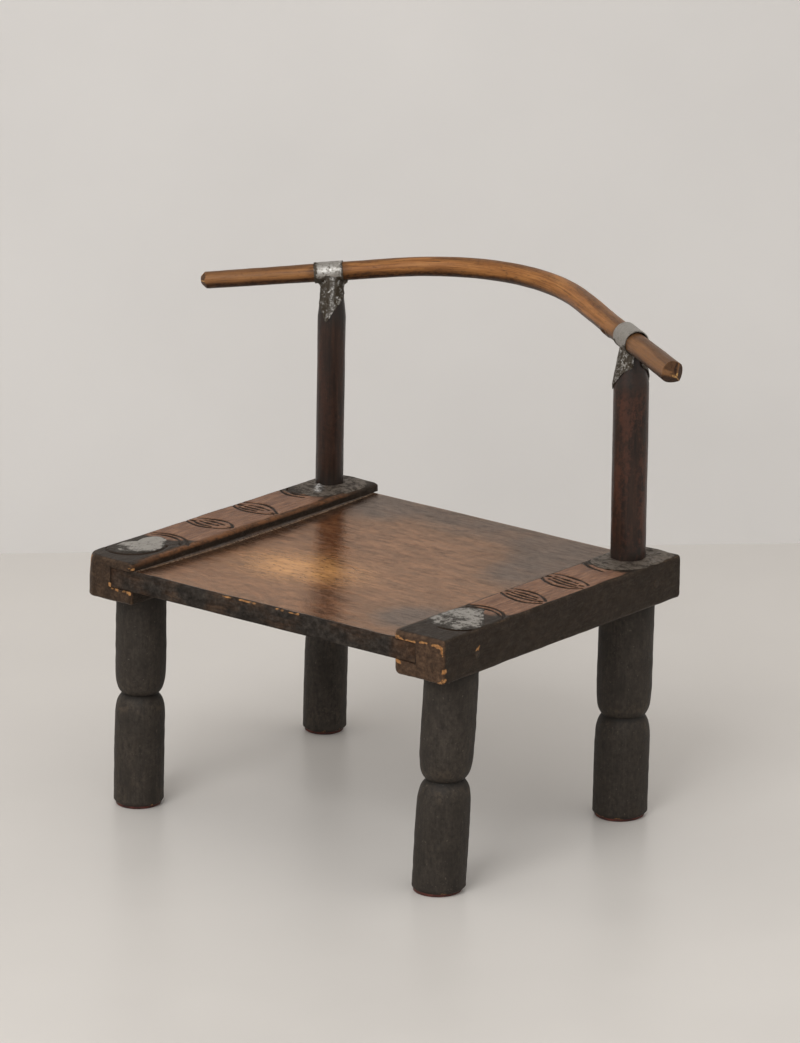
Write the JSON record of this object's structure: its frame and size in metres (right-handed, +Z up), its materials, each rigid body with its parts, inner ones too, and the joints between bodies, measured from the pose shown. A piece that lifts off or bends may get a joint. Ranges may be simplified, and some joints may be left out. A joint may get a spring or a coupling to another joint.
{
  "type": "low wooden chair",
  "caption": "Low chair with a hollowed plank seat held in grooved side rails, necked round legs, back posts and a bowed rod strapped to the post tops.",
  "frame": {"origin": "on the floor under the middle of the chair's bounding box", "axes": "+X from the chair's left side to its right side as seen from the front, +Y from the front edge of the seat to the backrest, +Z up"},
  "size_m": [0.607, 0.442, 0.5189],
  "materials": {
    "seat_wood": "waxed brown plank, dark along its front and rear edges",
    "rail_wood": "reddish brown carved tops, near-black faces, worn edges",
    "leg_wood": "matt charcoal patina with rubbed marks",
    "post_wood": "dark red-brown, smooth from handling",
    "rod_wood": "orange-brown satin, darker on top and below",
    "peg_wood": "end grain, dark",
    "strap_metal": "dull hammered sheet with dark pits",
    "inlay_metal": "soft poured metal, scraped flat, pitted",
    "post_inlay_metal": "dull dark metal, rough",
    "foot_pad": "dark red-brown pad"
  },
  "bodies": {
    "root": {"seat_plank": "seat_wood", "left_side_rail": "rail_wood", "right_side_rail": "rail_wood", "front_left_leg": "leg_wood", "front_right_leg": "leg_wood", "rear_left_leg": "leg_wood", "rear_right_leg": "leg_wood", "left_back_post": "post_wood", "right_back_post": "post_wood", "backrest_rod": "rod_wood", "left_rod_strap": "strap_metal", "right_rod_strap": "strap_metal", "left_front_inlay": "inlay_metal", "right_front_inlay": "inlay_metal", "left_post_inlay": "post_inlay_metal", "right_post_inlay": "post_inlay_metal", "front_left_peg": "peg_wood", "front_right_peg": "peg_wood", "rear_left_peg": "peg_wood", "rear_right_peg": "peg_wood", "front_left_foot_pad": "foot_pad", "front_right_foot_pad": "foot_pad", "rear_left_foot_pad": "foot_pad", "rear_right_foot_pad": "foot_pad"}
  },
  "joints": []
}
